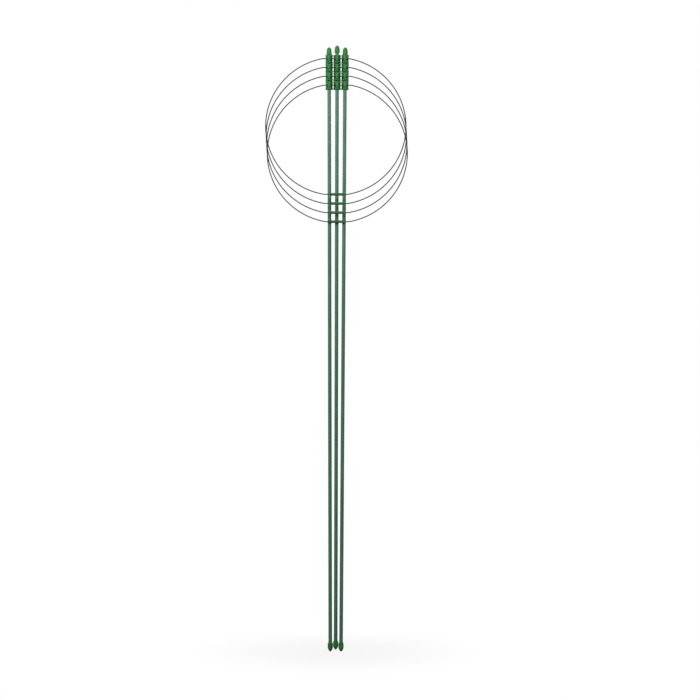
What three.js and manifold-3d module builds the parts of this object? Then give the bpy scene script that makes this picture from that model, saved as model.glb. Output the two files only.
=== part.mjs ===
// Grow through plant support, folded for storage.
// Three plastic coated steel stakes stand side by side, close together at the foot.
// Four spring wire rings hang flat in front of them, each threaded through three clips
// that slide on the stakes, and each closed at the bottom by a green sleeve.
// Millimetres. +X to the right, +Y to the back, +Z up. The origin is at the centre stake's tip.

import * as THREE from 'three';
import { mergeVertices } from 'three/addons/utils/BufferGeometryUtils.js';
import Module from 'manifold-3d';

const wasm = await Module();
wasm.setup();

// Clearance between pieces that touch or run in each other, and the overrun of every cut
const CLEARANCE = 0.3;
const OVERRUN = 2;

// Stakes
const STAKE_LENGTH = 1800;
const STAKE_DIAMETER = 11;
const COAT_WALL = 0.5;
const TUBE_WALL = 0.7;
const STAKE_SIDES = 20;
const OUTER_STAKE_DROP = 5.4;
const GAP_BETWEEN_BOTTOM_CAPS = 0.6;
const GAP_BETWEEN_CLIPS_AT_TOP = 1.8;

// Top caps, bullet shaped
const TOP_CAP_HEIGHT = 21.3;
const TOP_CAP_DIAMETER = 15.8;
const TOP_CAP_RIM_CHAMFER = 0.7;
const TOP_CAP_SOCKET_DEPTH = 12;
const TOP_CAP_NOSE_HEIGHT = 13;
const TOP_CAP_NIB_DIAMETER = 6;
const TOP_CAP_NIB_HEIGHT = 1;
const TOP_CAP_NIB_CHAMFER = 0.4;

// Bottom caps, with a blunt point that goes into the soil
const BOTTOM_CAP_HEIGHT = 26;
const BOTTOM_CAP_DIAMETER = 15.4;
const BOTTOM_CAP_SOCKET_DEPTH = 14;
const BOTTOM_CAP_POINT_HEIGHT = 13;
const BOTTOM_CAP_TIP_DIAMETER = 4;
const BOTTOM_CAP_SHOULDER_WIDTH = 1.3;
const BOTTOM_CAP_SHOULDER_HEIGHT = 3.6;
const CAP_SIDES = 16;
const NOSE_STEPS = 5;

// Rings of spring wire, slightly wider than they are tall, each pushed a little to one side
const RING_COUNT = 4;
const RING_WIDTH = 417;
const RING_HEIGHT = 413;
const GAP_BETWEEN_RINGS = 1.5;
const TOP_RING_SHIFT = -3.3;
const RING_SHIFT_STEP = 1.5;
const WIRE_DIAMETER = 3.2;
const WIRE_STEPS = 96;
const WIRE_SIDES = 8;
const WIRE_ARC_DIVISIONS = 800;
const STRAIGHT_PAST_CLIPS = 5;
const STRAIGHT_PAST_SLEEVE = 6;
const BEND_EASE = 0.6;
const WIRE_END_GAP = 4;

// Sleeve that joins the two ends of a ring, with its middle just right of the centre stake
const SLEEVE_LENGTH = 42;
const SLEEVE_OFFSET = 4;
const SLEEVE_DIAMETER = 8.6;
const SLEEVE_CHAMFER = 0.8;
const SLEEVE_SIDES = 16;

// Clips that slide on the stakes and carry the wires, stacked below the top caps
const CLIP_HEIGHT = 25.6;
const GAP_BETWEEN_STACKED_CLIPS = 0.7;
const GAP_ABOVE_TOP_CLIPS = 0.5;
const CLIP_WIDTH = 22.2;
const CLIP_WAIST_WIDTH = 20.6;
const CLIP_BARREL_DIAMETER = 15.8;
const CLIP_BARREL_CHAMFER = 1;
const WING_SETBACK = 1.5;
const WING_THICKNESS = 3.5;
const WING_END_HEIGHT = 4;
const WING_SLOPE_HEIGHT = 3;
const CLIP_SPLIT_WIDTH = 7.6;
const CLIP_SIDES = 16;
const EYE_WALL = 1.7;
const EYE_LENGTH = 8;
const EYE_SIDES = 12;
const CHANNEL_SIDES = 12;
const KEEL_WIDTH_AT_ENDS = 11;
const KEEL_WIDTH_AT_WIRE = 3;
const KEEL_PROUD_OF_EYE = 1;
const KEEL_PROUD_OF_BARREL = 0.9;

// Sizes worked out from those above
const stakeRadius = STAKE_DIAMETER / 2;
const tubeRadius = stakeRadius - COAT_WALL - CLEARANCE;
const socketRadius = stakeRadius + CLEARANCE;
const wireRadius = WIRE_DIAMETER / 2;
const channelRadius = wireRadius + CLEARANCE;
const eyeRadius = channelRadius + EYE_WALL;
const sleeveRadius = SLEEVE_DIAMETER / 2;
const spacingAtFoot = BOTTOM_CAP_DIAMETER + GAP_BETWEEN_BOTTOM_CAPS;
const spacingAtTop = CLIP_WIDTH + GAP_BETWEEN_CLIPS_AT_TOP;
const stakeLean = Math.atan((spacingAtTop - spacingAtFoot) / STAKE_LENGTH);
const ringPitch = CLIP_HEIGHT + GAP_BETWEEN_STACKED_CLIPS;
const outerCapFoot = STAKE_LENGTH - OUTER_STAKE_DROP - TOP_CAP_HEIGHT;
const topRingLevel = outerCapFoot - GAP_ABOVE_TOP_CLIPS - CLIP_HEIGHT / 2;
const halfWidth = RING_WIDTH / 2;
const halfHeight = RING_HEIGHT / 2;

// The wires hang just far enough in front of the stakes for the lowest ring's sleeve to clear them
const wireForward = stakeRadius + sleeveRadius + CLEARANCE;
const keelFrontAtWire = wireForward + eyeRadius + KEEL_PROUD_OF_EYE;
const barrelRadius = CLIP_BARREL_DIAMETER / 2;
const keelFrontAtEnds = barrelRadius + KEEL_PROUD_OF_BARREL;
const straightReach = spacingAtTop + CLIP_WIDTH / 2 + STRAIGHT_PAST_CLIPS;
const sleeveReach = SLEEVE_LENGTH / 2 + Math.abs(SLEEVE_OFFSET - TOP_RING_SHIFT) + STRAIGHT_PAST_SLEEVE;

const plasticGreen = new THREE.Color('#2f7038');
const coatGreen = new THREE.Color('#3f6e55');
const wireGreen = new THREE.Color('#4a5a50');
const steelGrey = new THREE.Color('#8d9296');

function plastic(name, color, roughness) {
  const material = new THREE.MeshStandardMaterial({ color, roughness, metalness: 0 });
  material.name = name;
  return material;
}

function steel(name, color, roughness) {
  const material = new THREE.MeshStandardMaterial({ color, roughness, metalness: 1 });
  material.name = name;
  return material;
}

function named(name, geometry, material) {
  const mesh = new THREE.Mesh(geometry, material);
  mesh.name = name;
  return mesh;
}

// A turned shape about Z from points of [radius, height], outside upwards
function turned(points, sides) {
  const outline = points.map(([radius, height]) => new THREE.Vector2(radius, height));
  const geometry = new THREE.LatheGeometry(outline, sides);
  geometry.rotateX(Math.PI / 2);
  return geometry;
}

// A pipe about Z, open at both ends, with its edges broken by a chamfer
function pipe(inner, outer, low, high, chamfer, sides) {
  return turned([
    [inner, low],
    [outer - chamfer, low],
    [outer, low + chamfer],
    [outer, high - chamfer],
    [outer - chamfer, high],
    [inner, high],
    [inner, low],
  ], sides);
}

function toSolid(geometry) {
  const bare = geometry.clone();
  bare.deleteAttribute('normal');
  bare.deleteAttribute('uv');
  const merged = mergeVertices(bare);
  return new wasm.Manifold(new wasm.Mesh({
    numProp: 3,
    vertProperties: new Float32Array(merged.attributes.position.array),
    triVerts: new Uint32Array(merged.index.array),
  }));
}

function toGeometry(solid) {
  const mesh = solid.getMesh();
  const geometry = new THREE.BufferGeometry();
  geometry.setAttribute('position', new THREE.BufferAttribute(mesh.vertProperties, mesh.numProp));
  geometry.setIndex(new THREE.BufferAttribute(mesh.triVerts, 1));
  return geometry;
}

// A round bar along Z or X, centred at a place
function bar(radius, length, sides, alongX, y) {
  const geometry = new THREE.CylinderGeometry(radius, radius, length, sides);
  if (alongX) {
    geometry.rotateZ(Math.PI / 2);
  } else {
    geometry.rotateX(Math.PI / 2);
  }
  geometry.translate(0, y, 0);
  return geometry;
}

// Stake: a steel tube in a plastic coat

function stakeTube(low, high) {
  return pipe(tubeRadius - TUBE_WALL, tubeRadius, low, high, 0, STAKE_SIDES);
}

function stakeCoat(low, high) {
  return pipe(stakeRadius - COAT_WALL, stakeRadius, low, high, 0, STAKE_SIDES);
}

// Top cap: a socket over the stake, a straight wall and a bullet shaped nose with a nib
function topCap() {
  const wall = TOP_CAP_DIAMETER / 2;
  const nib = TOP_CAP_NIB_DIAMETER / 2;
  const noseTop = TOP_CAP_HEIGHT - TOP_CAP_NIB_HEIGHT;
  const noseFoot = noseTop - TOP_CAP_NOSE_HEIGHT;
  const points = [
    [0, TOP_CAP_SOCKET_DEPTH],
    [socketRadius, TOP_CAP_SOCKET_DEPTH],
    [socketRadius, 0],
    [wall - TOP_CAP_RIM_CHAMFER, 0],
    [wall, TOP_CAP_RIM_CHAMFER],
  ];
  for (let step = 0; step <= NOSE_STEPS; step += 1) {
    const turn = ((step / NOSE_STEPS) * Math.PI) / 2;
    const radius = nib + (wall - nib) * Math.cos(turn);
    points.push([radius, noseFoot + TOP_CAP_NOSE_HEIGHT * Math.sin(turn)]);
  }
  points.push([nib, TOP_CAP_HEIGHT - TOP_CAP_NIB_CHAMFER]);
  points.push([nib - TOP_CAP_NIB_CHAMFER, TOP_CAP_HEIGHT]);
  points.push([0, TOP_CAP_HEIGHT]);
  return turned(points, CAP_SIDES);
}

// Bottom cap: a blunt point, a straight wall, a sloping shoulder and a socket for the stake's end
function bottomCap() {
  const wall = BOTTOM_CAP_DIAMETER / 2;
  const tip = BOTTOM_CAP_TIP_DIAMETER / 2;
  const socketFloor = BOTTOM_CAP_HEIGHT - BOTTOM_CAP_SOCKET_DEPTH;
  const points = [[0, 0], [tip, 0]];
  for (let step = 1; step <= NOSE_STEPS; step += 1) {
    const climbShare = step / NOSE_STEPS;
    const radius = tip + (wall - tip) * (1 - (1 - climbShare) ** 2);
    points.push([radius, BOTTOM_CAP_POINT_HEIGHT * climbShare]);
  }
  points.push([wall, BOTTOM_CAP_HEIGHT - BOTTOM_CAP_SHOULDER_HEIGHT]);
  points.push([wall - BOTTOM_CAP_SHOULDER_WIDTH, BOTTOM_CAP_HEIGHT]);
  points.push([socketRadius, BOTTOM_CAP_HEIGHT]);
  points.push([socketRadius, socketFloor]);
  points.push([0, socketFloor]);
  return turned(points, CAP_SIDES);
}

// Clip: a split barrel on the stake, with a wing at each side, an eye for the wire and a keel.
// The wire crosses clear of the barrel and runs through the eye under the keel.

function clipBarrel() {
  const top = CLIP_HEIGHT / 2;
  return turned([
    [0, -top],
    [barrelRadius - CLIP_BARREL_CHAMFER, -top],
    [barrelRadius, -top + CLIP_BARREL_CHAMFER],
    [barrelRadius, top - CLIP_BARREL_CHAMFER],
    [barrelRadius - CLIP_BARREL_CHAMFER, top],
    [0, top],
  ], CLIP_SIDES);
}

// The wings stand behind the stake's axis, beside the split, where fingers press to open the clip.
// They are widest at the clip's two ends.
function clipWings() {
  const rim = CLIP_WIDTH / 2;
  const waist = CLIP_WAIST_WIDTH / 2;
  const top = CLIP_HEIGHT / 2;
  const end = top - WING_END_HEIGHT;
  const slope = end - WING_SLOPE_HEIGHT;
  const face = new THREE.Shape();
  face.moveTo(-rim, -top);
  face.lineTo(rim, -top);
  face.lineTo(rim, -end);
  face.lineTo(waist, -slope);
  face.lineTo(waist, slope);
  face.lineTo(rim, end);
  face.lineTo(rim, top);
  face.lineTo(-rim, top);
  face.lineTo(-rim, end);
  face.lineTo(-waist, slope);
  face.lineTo(-waist, -slope);
  face.lineTo(-rim, -end);
  const geometry = new THREE.ExtrudeGeometry(face, { depth: WING_THICKNESS, bevelEnabled: false });
  geometry.rotateX(Math.PI / 2);
  geometry.translate(0, WING_SETBACK + WING_THICKNESS, 0);
  return geometry;
}

// The keel is narrow and proud at the wire, and wide and low at the clip's two ends
function clipKeel() {
  const top = CLIP_HEIGHT / 2 - CLIP_BARREL_CHAMFER;
  const face = new THREE.Shape();
  face.moveTo(-KEEL_WIDTH_AT_ENDS / 2, -top);
  face.lineTo(KEEL_WIDTH_AT_ENDS / 2, -top);
  face.lineTo(KEEL_WIDTH_AT_WIRE / 2, 0);
  face.lineTo(KEEL_WIDTH_AT_ENDS / 2, top);
  face.lineTo(-KEEL_WIDTH_AT_ENDS / 2, top);
  face.lineTo(-KEEL_WIDTH_AT_WIRE / 2, 0);
  const facing = new THREE.ExtrudeGeometry(face, { depth: keelFrontAtWire, bevelEnabled: false });
  facing.rotateX(Math.PI / 2);

  const side = new THREE.Shape();
  side.moveTo(0, -top);
  side.lineTo(keelFrontAtEnds, -top);
  side.lineTo(keelFrontAtWire, 0);
  side.lineTo(keelFrontAtEnds, top);
  side.lineTo(0, top);
  const profile = new THREE.ExtrudeGeometry(side, { depth: KEEL_WIDTH_AT_ENDS, bevelEnabled: false });
  profile.translate(0, 0, -KEEL_WIDTH_AT_ENDS / 2);
  profile.rotateX(Math.PI / 2);
  profile.rotateZ(-Math.PI / 2);
  return toSolid(facing).intersect(toSolid(profile));
}

function clip() {
  const eye = bar(eyeRadius, EYE_LENGTH, EYE_SIDES, true, -wireForward);
  const web = new THREE.BoxGeometry(EYE_LENGTH, wireForward, 2 * eyeRadius);
  web.translate(0, -wireForward / 2, 0);
  const bore = bar(socketRadius, CLIP_HEIGHT + OVERRUN, CLIP_SIDES, false, 0);
  const channel = bar(channelRadius, CLIP_WIDTH + OVERRUN, CHANNEL_SIDES, true, -wireForward);
  const split = new THREE.BoxGeometry(
    CLIP_SPLIT_WIDTH,
    CLIP_BARREL_DIAMETER,
    CLIP_HEIGHT + OVERRUN,
  );
  split.translate(0, barrelRadius, 0);
  let solid = toSolid(clipBarrel());
  solid = solid.add(toSolid(clipWings()));
  solid = solid.add(toSolid(web));
  solid = solid.add(toSolid(eye));
  solid = solid.add(clipKeel());
  solid = solid.subtract(toSolid(bore));
  solid = solid.subtract(toSolid(channel));
  solid = solid.subtract(toSolid(split));
  return toGeometry(solid);
}

// Ring: the wire's centre line is an ellipse, drawn straight through the clips and in the sleeve

function sag(reach) {
  return halfHeight * (1 - Math.sqrt(1 - (reach / halfWidth) ** 2));
}

const topLevel = halfHeight - sag(straightReach);
const bottomLevel = halfHeight - sag(sleeveReach);
const ringDrop = topLevel + bottomLevel;

// The lower of two levels, eased where they meet
function easedLower(one, other) {
  const overlap = Math.max(BEND_EASE - Math.abs(one - other), 0);
  return Math.min(one, other) - (overlap * overlap) / (4 * BEND_EASE);
}

class RingLine extends THREE.Curve {
  constructor() {
    super();
    this.arcLengthDivisions = WIRE_ARC_DIVISIONS;
    this.start = Math.asin(WIRE_END_GAP / 2 / halfWidth);
  }

  getPoint(share, target = new THREE.Vector3()) {
    const turn = this.start + share * 2 * (Math.PI - this.start);
    const level = -halfHeight * Math.cos(turn);
    const capped = easedLower(level, topLevel);
    const height = -easedLower(-capped, bottomLevel);
    return target.set(halfWidth * Math.sin(turn), 0, height - topLevel);
  }
}

function ringWire() {
  const section = new THREE.Shape();
  section.absarc(0, 0, wireRadius, 0, 2 * Math.PI);
  return new THREE.ExtrudeGeometry(section, {
    steps: WIRE_STEPS,
    curveSegments: WIRE_SIDES / 2,
    extrudePath: new RingLine(),
  });
}

function ringSleeve() {
  const half = SLEEVE_LENGTH / 2;
  const geometry = pipe(channelRadius, sleeveRadius, -half, half, SLEEVE_CHAMFER, SLEEVE_SIDES);
  geometry.rotateY(Math.PI / 2);
  geometry.translate(0, 0, -ringDrop);
  return geometry;
}

// Each ring leans on the next one down where the two wires cross, half a pitch from mid-height
function ringLeans() {
  const reachOfUpper = ringDrop / 2 + ringPitch / 2;
  const reachOfLower = ringDrop / 2 - ringPitch / 2;
  const leans = [0];
  while (leans.length < RING_COUNT) {
    const lowerStands = reachOfLower * Math.sin(leans[0]);
    leans.unshift(Math.asin((lowerStands + WIRE_DIAMETER + GAP_BETWEEN_RINGS) / reachOfUpper));
  }
  return leans;
}

// Assembly

const support = new THREE.Group();
const capMaterial = plastic('moulded_green_plastic', plasticGreen, 0.45);
const coatMaterial = plastic('green_plastic_coat', coatGreen, 0.4);
const wireMaterial = plastic('coated_spring_wire', wireGreen, 0.4);
const tubeMaterial = steel('steel_tube', steelGrey, 0.35);

const ringLevels = [];
for (let ring = 0; ring < RING_COUNT; ring += 1) {
  ringLevels.push(topRingLevel - ring * ringPitch);
}

const socketFloor = BOTTOM_CAP_HEIGHT - BOTTOM_CAP_SOCKET_DEPTH;
const capFoot = STAKE_LENGTH - TOP_CAP_HEIGHT;
const stakeLow = socketFloor + CLEARANCE;
const stakeHigh = capFoot + TOP_CAP_SOCKET_DEPTH - CLEARANCE;

for (const [side, place] of [['left', -1], ['centre', 0], ['right', 1]]) {
  const stake = new THREE.Group();
  const foot = -OUTER_STAKE_DROP * Math.abs(place);
  stake.position.set(place * spacingAtFoot, 0, foot);
  stake.rotation.y = place * stakeLean;
  support.add(stake);

  stake.add(named(`${side}_stake_tube`, stakeTube(stakeLow, stakeHigh), tubeMaterial));
  stake.add(named(`${side}_stake_coat`, stakeCoat(stakeLow, stakeHigh), coatMaterial));
  stake.add(named(`${side}_bottom_cap`, bottomCap(), capMaterial));
  const top = named(`${side}_top_cap`, topCap(), capMaterial);
  top.position.z = capFoot;
  stake.add(top);

  ringLevels.forEach((level, ring) => {
    const mesh = named(`${side}_clip_${ring + 1}`, clip(), capMaterial);
    mesh.position.z = (level - foot) / Math.cos(place * stakeLean);
    stake.add(mesh);
  });
}

const leans = ringLeans();
ringLevels.forEach((level, ring) => {
  const shift = TOP_RING_SHIFT + ring * RING_SHIFT_STEP;
  const group = new THREE.Group();
  group.position.set(shift, -wireForward, level);
  group.rotation.x = -leans[ring];
  group.add(named(`ring_${ring + 1}_wire`, ringWire(), wireMaterial));
  const sleeve = named(`ring_${ring + 1}_sleeve`, ringSleeve(), capMaterial);
  sleeve.position.x = SLEEVE_OFFSET - shift;
  group.add(sleeve);
  support.add(group);
});

export default support;
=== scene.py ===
"""The finished look of a grow through plant support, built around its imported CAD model.

Every piece is in metres, in the model's own frame: +X right, +Y back, +Z up, with the origin at the
tip of the centre stake's bottom cap.
"""

import math

import bmesh
import bpy
from bpy.props import FloatProperty, FloatVectorProperty, PointerProperty
from mathutils import Matrix, Vector


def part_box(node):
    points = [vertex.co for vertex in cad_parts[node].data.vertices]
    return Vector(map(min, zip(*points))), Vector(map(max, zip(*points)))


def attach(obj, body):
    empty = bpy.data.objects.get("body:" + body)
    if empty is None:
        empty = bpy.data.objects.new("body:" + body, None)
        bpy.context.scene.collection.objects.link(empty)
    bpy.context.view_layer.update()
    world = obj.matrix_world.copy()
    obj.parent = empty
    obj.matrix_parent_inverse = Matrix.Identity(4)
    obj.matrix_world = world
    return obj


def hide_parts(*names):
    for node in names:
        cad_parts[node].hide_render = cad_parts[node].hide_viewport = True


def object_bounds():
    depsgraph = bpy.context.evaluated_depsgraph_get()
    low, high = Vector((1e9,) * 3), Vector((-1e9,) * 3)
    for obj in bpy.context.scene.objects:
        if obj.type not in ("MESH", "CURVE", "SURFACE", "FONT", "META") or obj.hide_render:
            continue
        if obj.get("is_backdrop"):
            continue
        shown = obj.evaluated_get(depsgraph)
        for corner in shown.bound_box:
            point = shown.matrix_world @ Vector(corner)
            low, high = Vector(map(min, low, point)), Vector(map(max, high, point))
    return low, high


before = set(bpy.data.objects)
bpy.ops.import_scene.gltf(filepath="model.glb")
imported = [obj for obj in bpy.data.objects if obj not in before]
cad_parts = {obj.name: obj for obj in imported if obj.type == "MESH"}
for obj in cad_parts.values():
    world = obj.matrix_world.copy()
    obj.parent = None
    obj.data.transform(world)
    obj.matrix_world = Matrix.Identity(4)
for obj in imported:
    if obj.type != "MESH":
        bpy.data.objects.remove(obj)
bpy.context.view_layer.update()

bl_info = {
    "name": "Grow Through Plant Support",
    "version": (1, 0, 0),
    "blender": (4, 5, 0),
    "location": "View3D > Sidebar > Plant Support",
    "description": "Builds a folded grow through plant support and its studio",
    "category": "Add Mesh",
}

MM = 0.001

# Each stake's name and its place beside the centre one, and the rings from the top down
STAKES = (("left", -1), ("centre", 0), ("right", 1))
RINGS = (1, 2, 3, 4)

# Sides of the round pieces, enough for them to look round close up
STAKE_SIDES = 40
CAP_SIDES = 56
SLEEVE_SIDES = 32
WIRE_SIDES = 14

# Steps along a ring's wire, round a fillet, and up a cap's nose or point
WIRE_STEPS = 288
FILLET_STEPS = 5
NOSE_STEPS = 16

# Edges that bend by more than this stay sharp in the shading
SHARP_ANGLE = math.radians(50)


def linear(hex_colour):
    """Linear red, green and blue of an sRGB colour such as '2f7038'."""
    levels = [int(hex_colour[k:k + 2], 16) / 255 for k in (0, 2, 4)]
    return tuple(v / 12.92 if v <= 0.04045 else ((v + 0.055) / 1.055) ** 2.4 for v in levels)


def measure(name, description, default):
    """A length in metres that the sidebar shows in the scene's own unit."""
    return FloatProperty(
        name=name, description=description, default=default, min=0.0, precision=5,
        subtype="DISTANCE", unit="LENGTH",
    )


def colour(name, description, hex_colour):
    """A colour that the sidebar shows as a swatch."""
    return FloatVectorProperty(
        name=name, description=description, default=linear(hex_colour), min=0.0, max=1.0,
        size=3, subtype="COLOR",
    )


class StakeSettings(bpy.types.PropertyGroup):
    length: measure("Length", "From the tip to the end of the top cap", 1800 * MM)
    diameter: measure("Diameter", "Outside diameter of the plastic coat", 11 * MM)
    coat_wall: measure("Coat Wall", "Thickness of the plastic coat", 0.5 * MM)
    spacing_at_foot: measure("Spacing at Foot", "Between the stakes' axes at the tips", 16 * MM)
    spacing_at_top: measure("Spacing at Top", "Between the stakes' axes at full height", 24 * MM)
    outer_drop: measure("Outer Drop", "How much lower the outer stakes stand", 5.4 * MM)
    coat_colour: colour("Coat", "Extruded polyethylene coat", "44785c")
    steel_colour: colour("Steel", "Galvanised steel of the tube", "9ba1a4")


class CapSettings(bpy.types.PropertyGroup):
    top_height: measure("Top Cap Height", "From its rim to the end of the nib", 21.3 * MM)
    top_diameter: measure("Top Cap Diameter", "Across the straight wall", 15.8 * MM)
    nose_height: measure("Nose Height", "Bullet shaped part of the top cap", 13 * MM)
    nib_diameter: measure("Nib Diameter", "Flat nib on the nose of the top cap", 6 * MM)
    nib_height: measure("Nib Height", "Flat nib on the nose of the top cap", 1 * MM)
    bottom_height: measure("Bottom Cap Height", "From the tip to the rim", 26 * MM)
    bottom_diameter: measure("Bottom Cap Diameter", "Across the straight wall", 15.4 * MM)
    point_height: measure("Point Height", "Pointed part of the bottom cap", 13 * MM)
    tip_diameter: measure("Tip Diameter", "Flat end of the point", 4 * MM)
    plastic_colour: colour("Plastic", "Moulded polypropylene", "357e40")


class ClipSettings(bpy.types.PropertyGroup):
    height: measure("Height", "Of one clip along its stake", 25.6 * MM)
    width: measure("Width", "Across the wings at the clip's two ends", 22.2 * MM)
    waist_width: measure("Waist Width", "Across the wings beside the wire", 20.6 * MM)
    barrel_diameter: measure("Barrel Diameter", "Of the barrel that holds the stake", 15.8 * MM)
    wing_thickness: measure("Wing Thickness", "Of the wings from front to back", 3.5 * MM)
    split_width: measure("Split Width", "Of the slot at the back that snaps on the stake", 7.6 * MM)
    eye_wall: measure("Eye Wall", "Of the eye round the wire", 1.7 * MM)
    eye_length: measure("Eye Length", "Of the eye along the wire", 8 * MM)
    keel_at_ends: measure("Keel Width at Ends", "Of the raised keel at the two ends", 11 * MM)
    keel_at_wire: measure("Keel Width at Wire", "Of the raised keel over the eye", 3 * MM)
    grain: measure("Grain", "Size of the mesh cells that round the moulding's edges", 0.4 * MM)


class RingSettings(bpy.types.PropertyGroup):
    width: measure("Width", "Of a ring, between wire centres", 417 * MM)
    height: measure("Height", "Of the oval that a ring is bent to", 413 * MM)
    gap: measure("Gap", "Between the wires of two rings where they cross", 1.5 * MM)
    pitch: measure("Pitch", "Between one ring and the next down", 26.3 * MM)
    wire_diameter: measure("Wire Diameter", "With its coat", 3.2 * MM)
    sleeve_length: measure("Sleeve Length", "Of the sleeve that joins the wire's ends", 42 * MM)
    sleeve_diameter: measure("Sleeve Diameter", "Outside diameter", 8.6 * MM)
    wire_colour: colour("Wire", "Coated spring wire", "2c3632")
    sleeve_colour: colour("Sleeve", "Moulded polypropylene of the sleeves", "2f6a37")


class StudioSettings(bpy.types.PropertyGroup):
    floor_colour: colour("Floor", "Matt paper", "c6c6c4")
    ambient: FloatProperty(
        name="Ambient", description="Light from all round the studio", default=0.05, min=0.0,
    )
    key_power: FloatProperty(
        name="Key Light", description="Large soft light at the upper left", default=34.0,
        min=0.0, subtype="POWER", unit="POWER",
    )
    fill_power: FloatProperty(
        name="Fill Light", description="Weak soft light from the front", default=13.0,
        min=0.0, subtype="POWER", unit="POWER",
    )
    back_power: FloatProperty(
        name="Back Light", description="Large soft light from behind, at the right",
        default=30.0, min=0.0, subtype="POWER", unit="POWER",
    )


class SupportSettings(bpy.types.PropertyGroup):
    stake: PointerProperty(type=StakeSettings)
    cap: PointerProperty(type=CapSettings)
    clip: PointerProperty(type=ClipSettings)
    ring: PointerProperty(type=RingSettings)
    studio: PointerProperty(type=StudioSettings)


# Materials

# Plastic that is rubbed pale, on the edges of the mouldings, where the pale also paints a
# highlight, and on the coat
RUBBED_AND_HIGHLIT_EDGE = "7fae86"
RUBBED_COAT = "86a596"

# Painted shade darkens a face where another face stands nearer than this
SHADE_REACH = 12 * MM


def add_node(tree, kind, settings=None, inputs=None):
    """Adds one node, sets its properties, and sets or links its inputs."""
    node = tree.nodes.new(kind)
    for name, value in (settings or {}).items():
        setattr(node, name, value)
    for name, value in (inputs or {}).items():
        if isinstance(value, bpy.types.NodeSocket):
            tree.links.new(value, node.inputs[name])
        else:
            node.inputs[name].default_value = value
    return node


def per_metre(size):
    """Texture scale whose features are as large as size."""
    return 1.0 / size


def opaque(rgb, share=1.0):
    """A colour for a socket, darker or lighter by a share."""
    return tuple(min(1.0, level * share) for level in rgb) + (1.0,)


def new_material(name):
    """A material with an empty node tree."""
    material = bpy.data.materials.new(name)
    material.use_nodes = True
    material.node_tree.nodes.clear()
    return material, material.node_tree


def painted_gap_shade(tree, clean, shade_colour, tight, free):
    """Paints shade into a colour, darker in corners and gaps where another face stands near.

    The shares tight and free say how much of the space around is open where the painted shade is
    darkest and where there is none.
    """
    # Painted shade: the colour darkens by how little open space there is around the surface
    space = add_node(tree, "ShaderNodeAmbientOcclusion", {"samples": 8}, {"Distance": SHADE_REACH})
    openness = add_node(tree, "ShaderNodeMapRange", inputs={
        "Value": space.outputs["AO"], "From Min": tight, "From Max": free,
    })
    return add_node(tree, "ShaderNodeMix", {"data_type": "RGBA"}, {
        "Factor": openness.outputs["Result"], "A": shade_colour, "B": clean,
    })


def moulded_polypropylene(name, rgb):
    """Injection moulded polypropylene: a slightly waxy green with a soft sheen.

    The flow of the melt leaves cloudy streaks, the tool's fine spark grain breaks up the gloss,
    the sharp edges are rubbed paler, which also paints a highlight on them, and painted shade
    darkens the corners.
    """
    material, tree = new_material(name)
    place = add_node(tree, "ShaderNodeTexCoord").outputs["Object"]
    # Streaks of the melt are about 9 mm across, with finer ones among them
    clouds = add_node(tree, "ShaderNodeTexNoise", inputs={
        "Vector": place, "Scale": per_metre(9 * MM), "Detail": 4.0, "Roughness": 0.6,
        "Distortion": 0.8,
    })
    streaks = add_node(tree, "ShaderNodeMapRange", inputs={
        "Value": clouds.outputs["Fac"], "From Min": 0.34, "From Max": 0.66,
    })
    melt = add_node(tree, "ShaderNodeMix", {"data_type": "RGBA"}, {
        "Factor": streaks.outputs["Result"],
        "A": opaque(rgb, 0.84),
        "B": opaque(rgb, 1.2),
    })
    # Painted shade: the plastic darkens, down to a fifth of its colour, in corners and between
    # clips
    gap_shaded = painted_gap_shade(tree, melt.outputs["Result"], opaque(rgb, 0.2), 0.35, 0.9)
    pointed = add_node(tree, "ShaderNodeNewGeometry").outputs["Pointiness"]
    # Pale sharp edges: partly rubbed wear, partly a painted highlight along the keels and rims
    edges = add_node(tree, "ShaderNodeMapRange", inputs={
        "Value": pointed, "From Min": 0.515, "From Max": 0.58, "To Max": 0.25,
    })
    rubbed = add_node(tree, "ShaderNodeMix", {"data_type": "RGBA"}, {
        "Factor": edges.outputs["Result"],
        "A": gap_shaded.outputs["Result"],
        "B": opaque(linear(RUBBED_AND_HIGHLIT_EDGE)),
    })
    # Spark grain is about 0.05 mm in the tool, drawn at 0.5 mm so that it shows at all
    grain = add_node(tree, "ShaderNodeTexNoise", inputs={
        "Vector": place, "Scale": per_metre(0.5 * MM), "Detail": 2.0,
    })
    sheen = add_node(tree, "ShaderNodeMapRange", inputs={
        "Value": grain.outputs["Fac"], "To Min": 0.48, "To Max": 0.64,
    })
    relief = add_node(tree, "ShaderNodeBump", inputs={
        "Strength": 0.6, "Distance": 0.06 * MM, "Height": grain.outputs["Fac"],
    })
    plastic = add_node(tree, "ShaderNodeBsdfPrincipled", inputs={
        "Base Color": rubbed.outputs["Result"],
        "Roughness": sheen.outputs["Result"],
        "IOR": 1.49,
        "Specular IOR Level": 0.15,
        "Normal": relief.outputs["Normal"],
    })
    add_node(tree, "ShaderNodeOutputMaterial", inputs={"Surface": plastic.outputs["BSDF"]})
    return material


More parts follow.
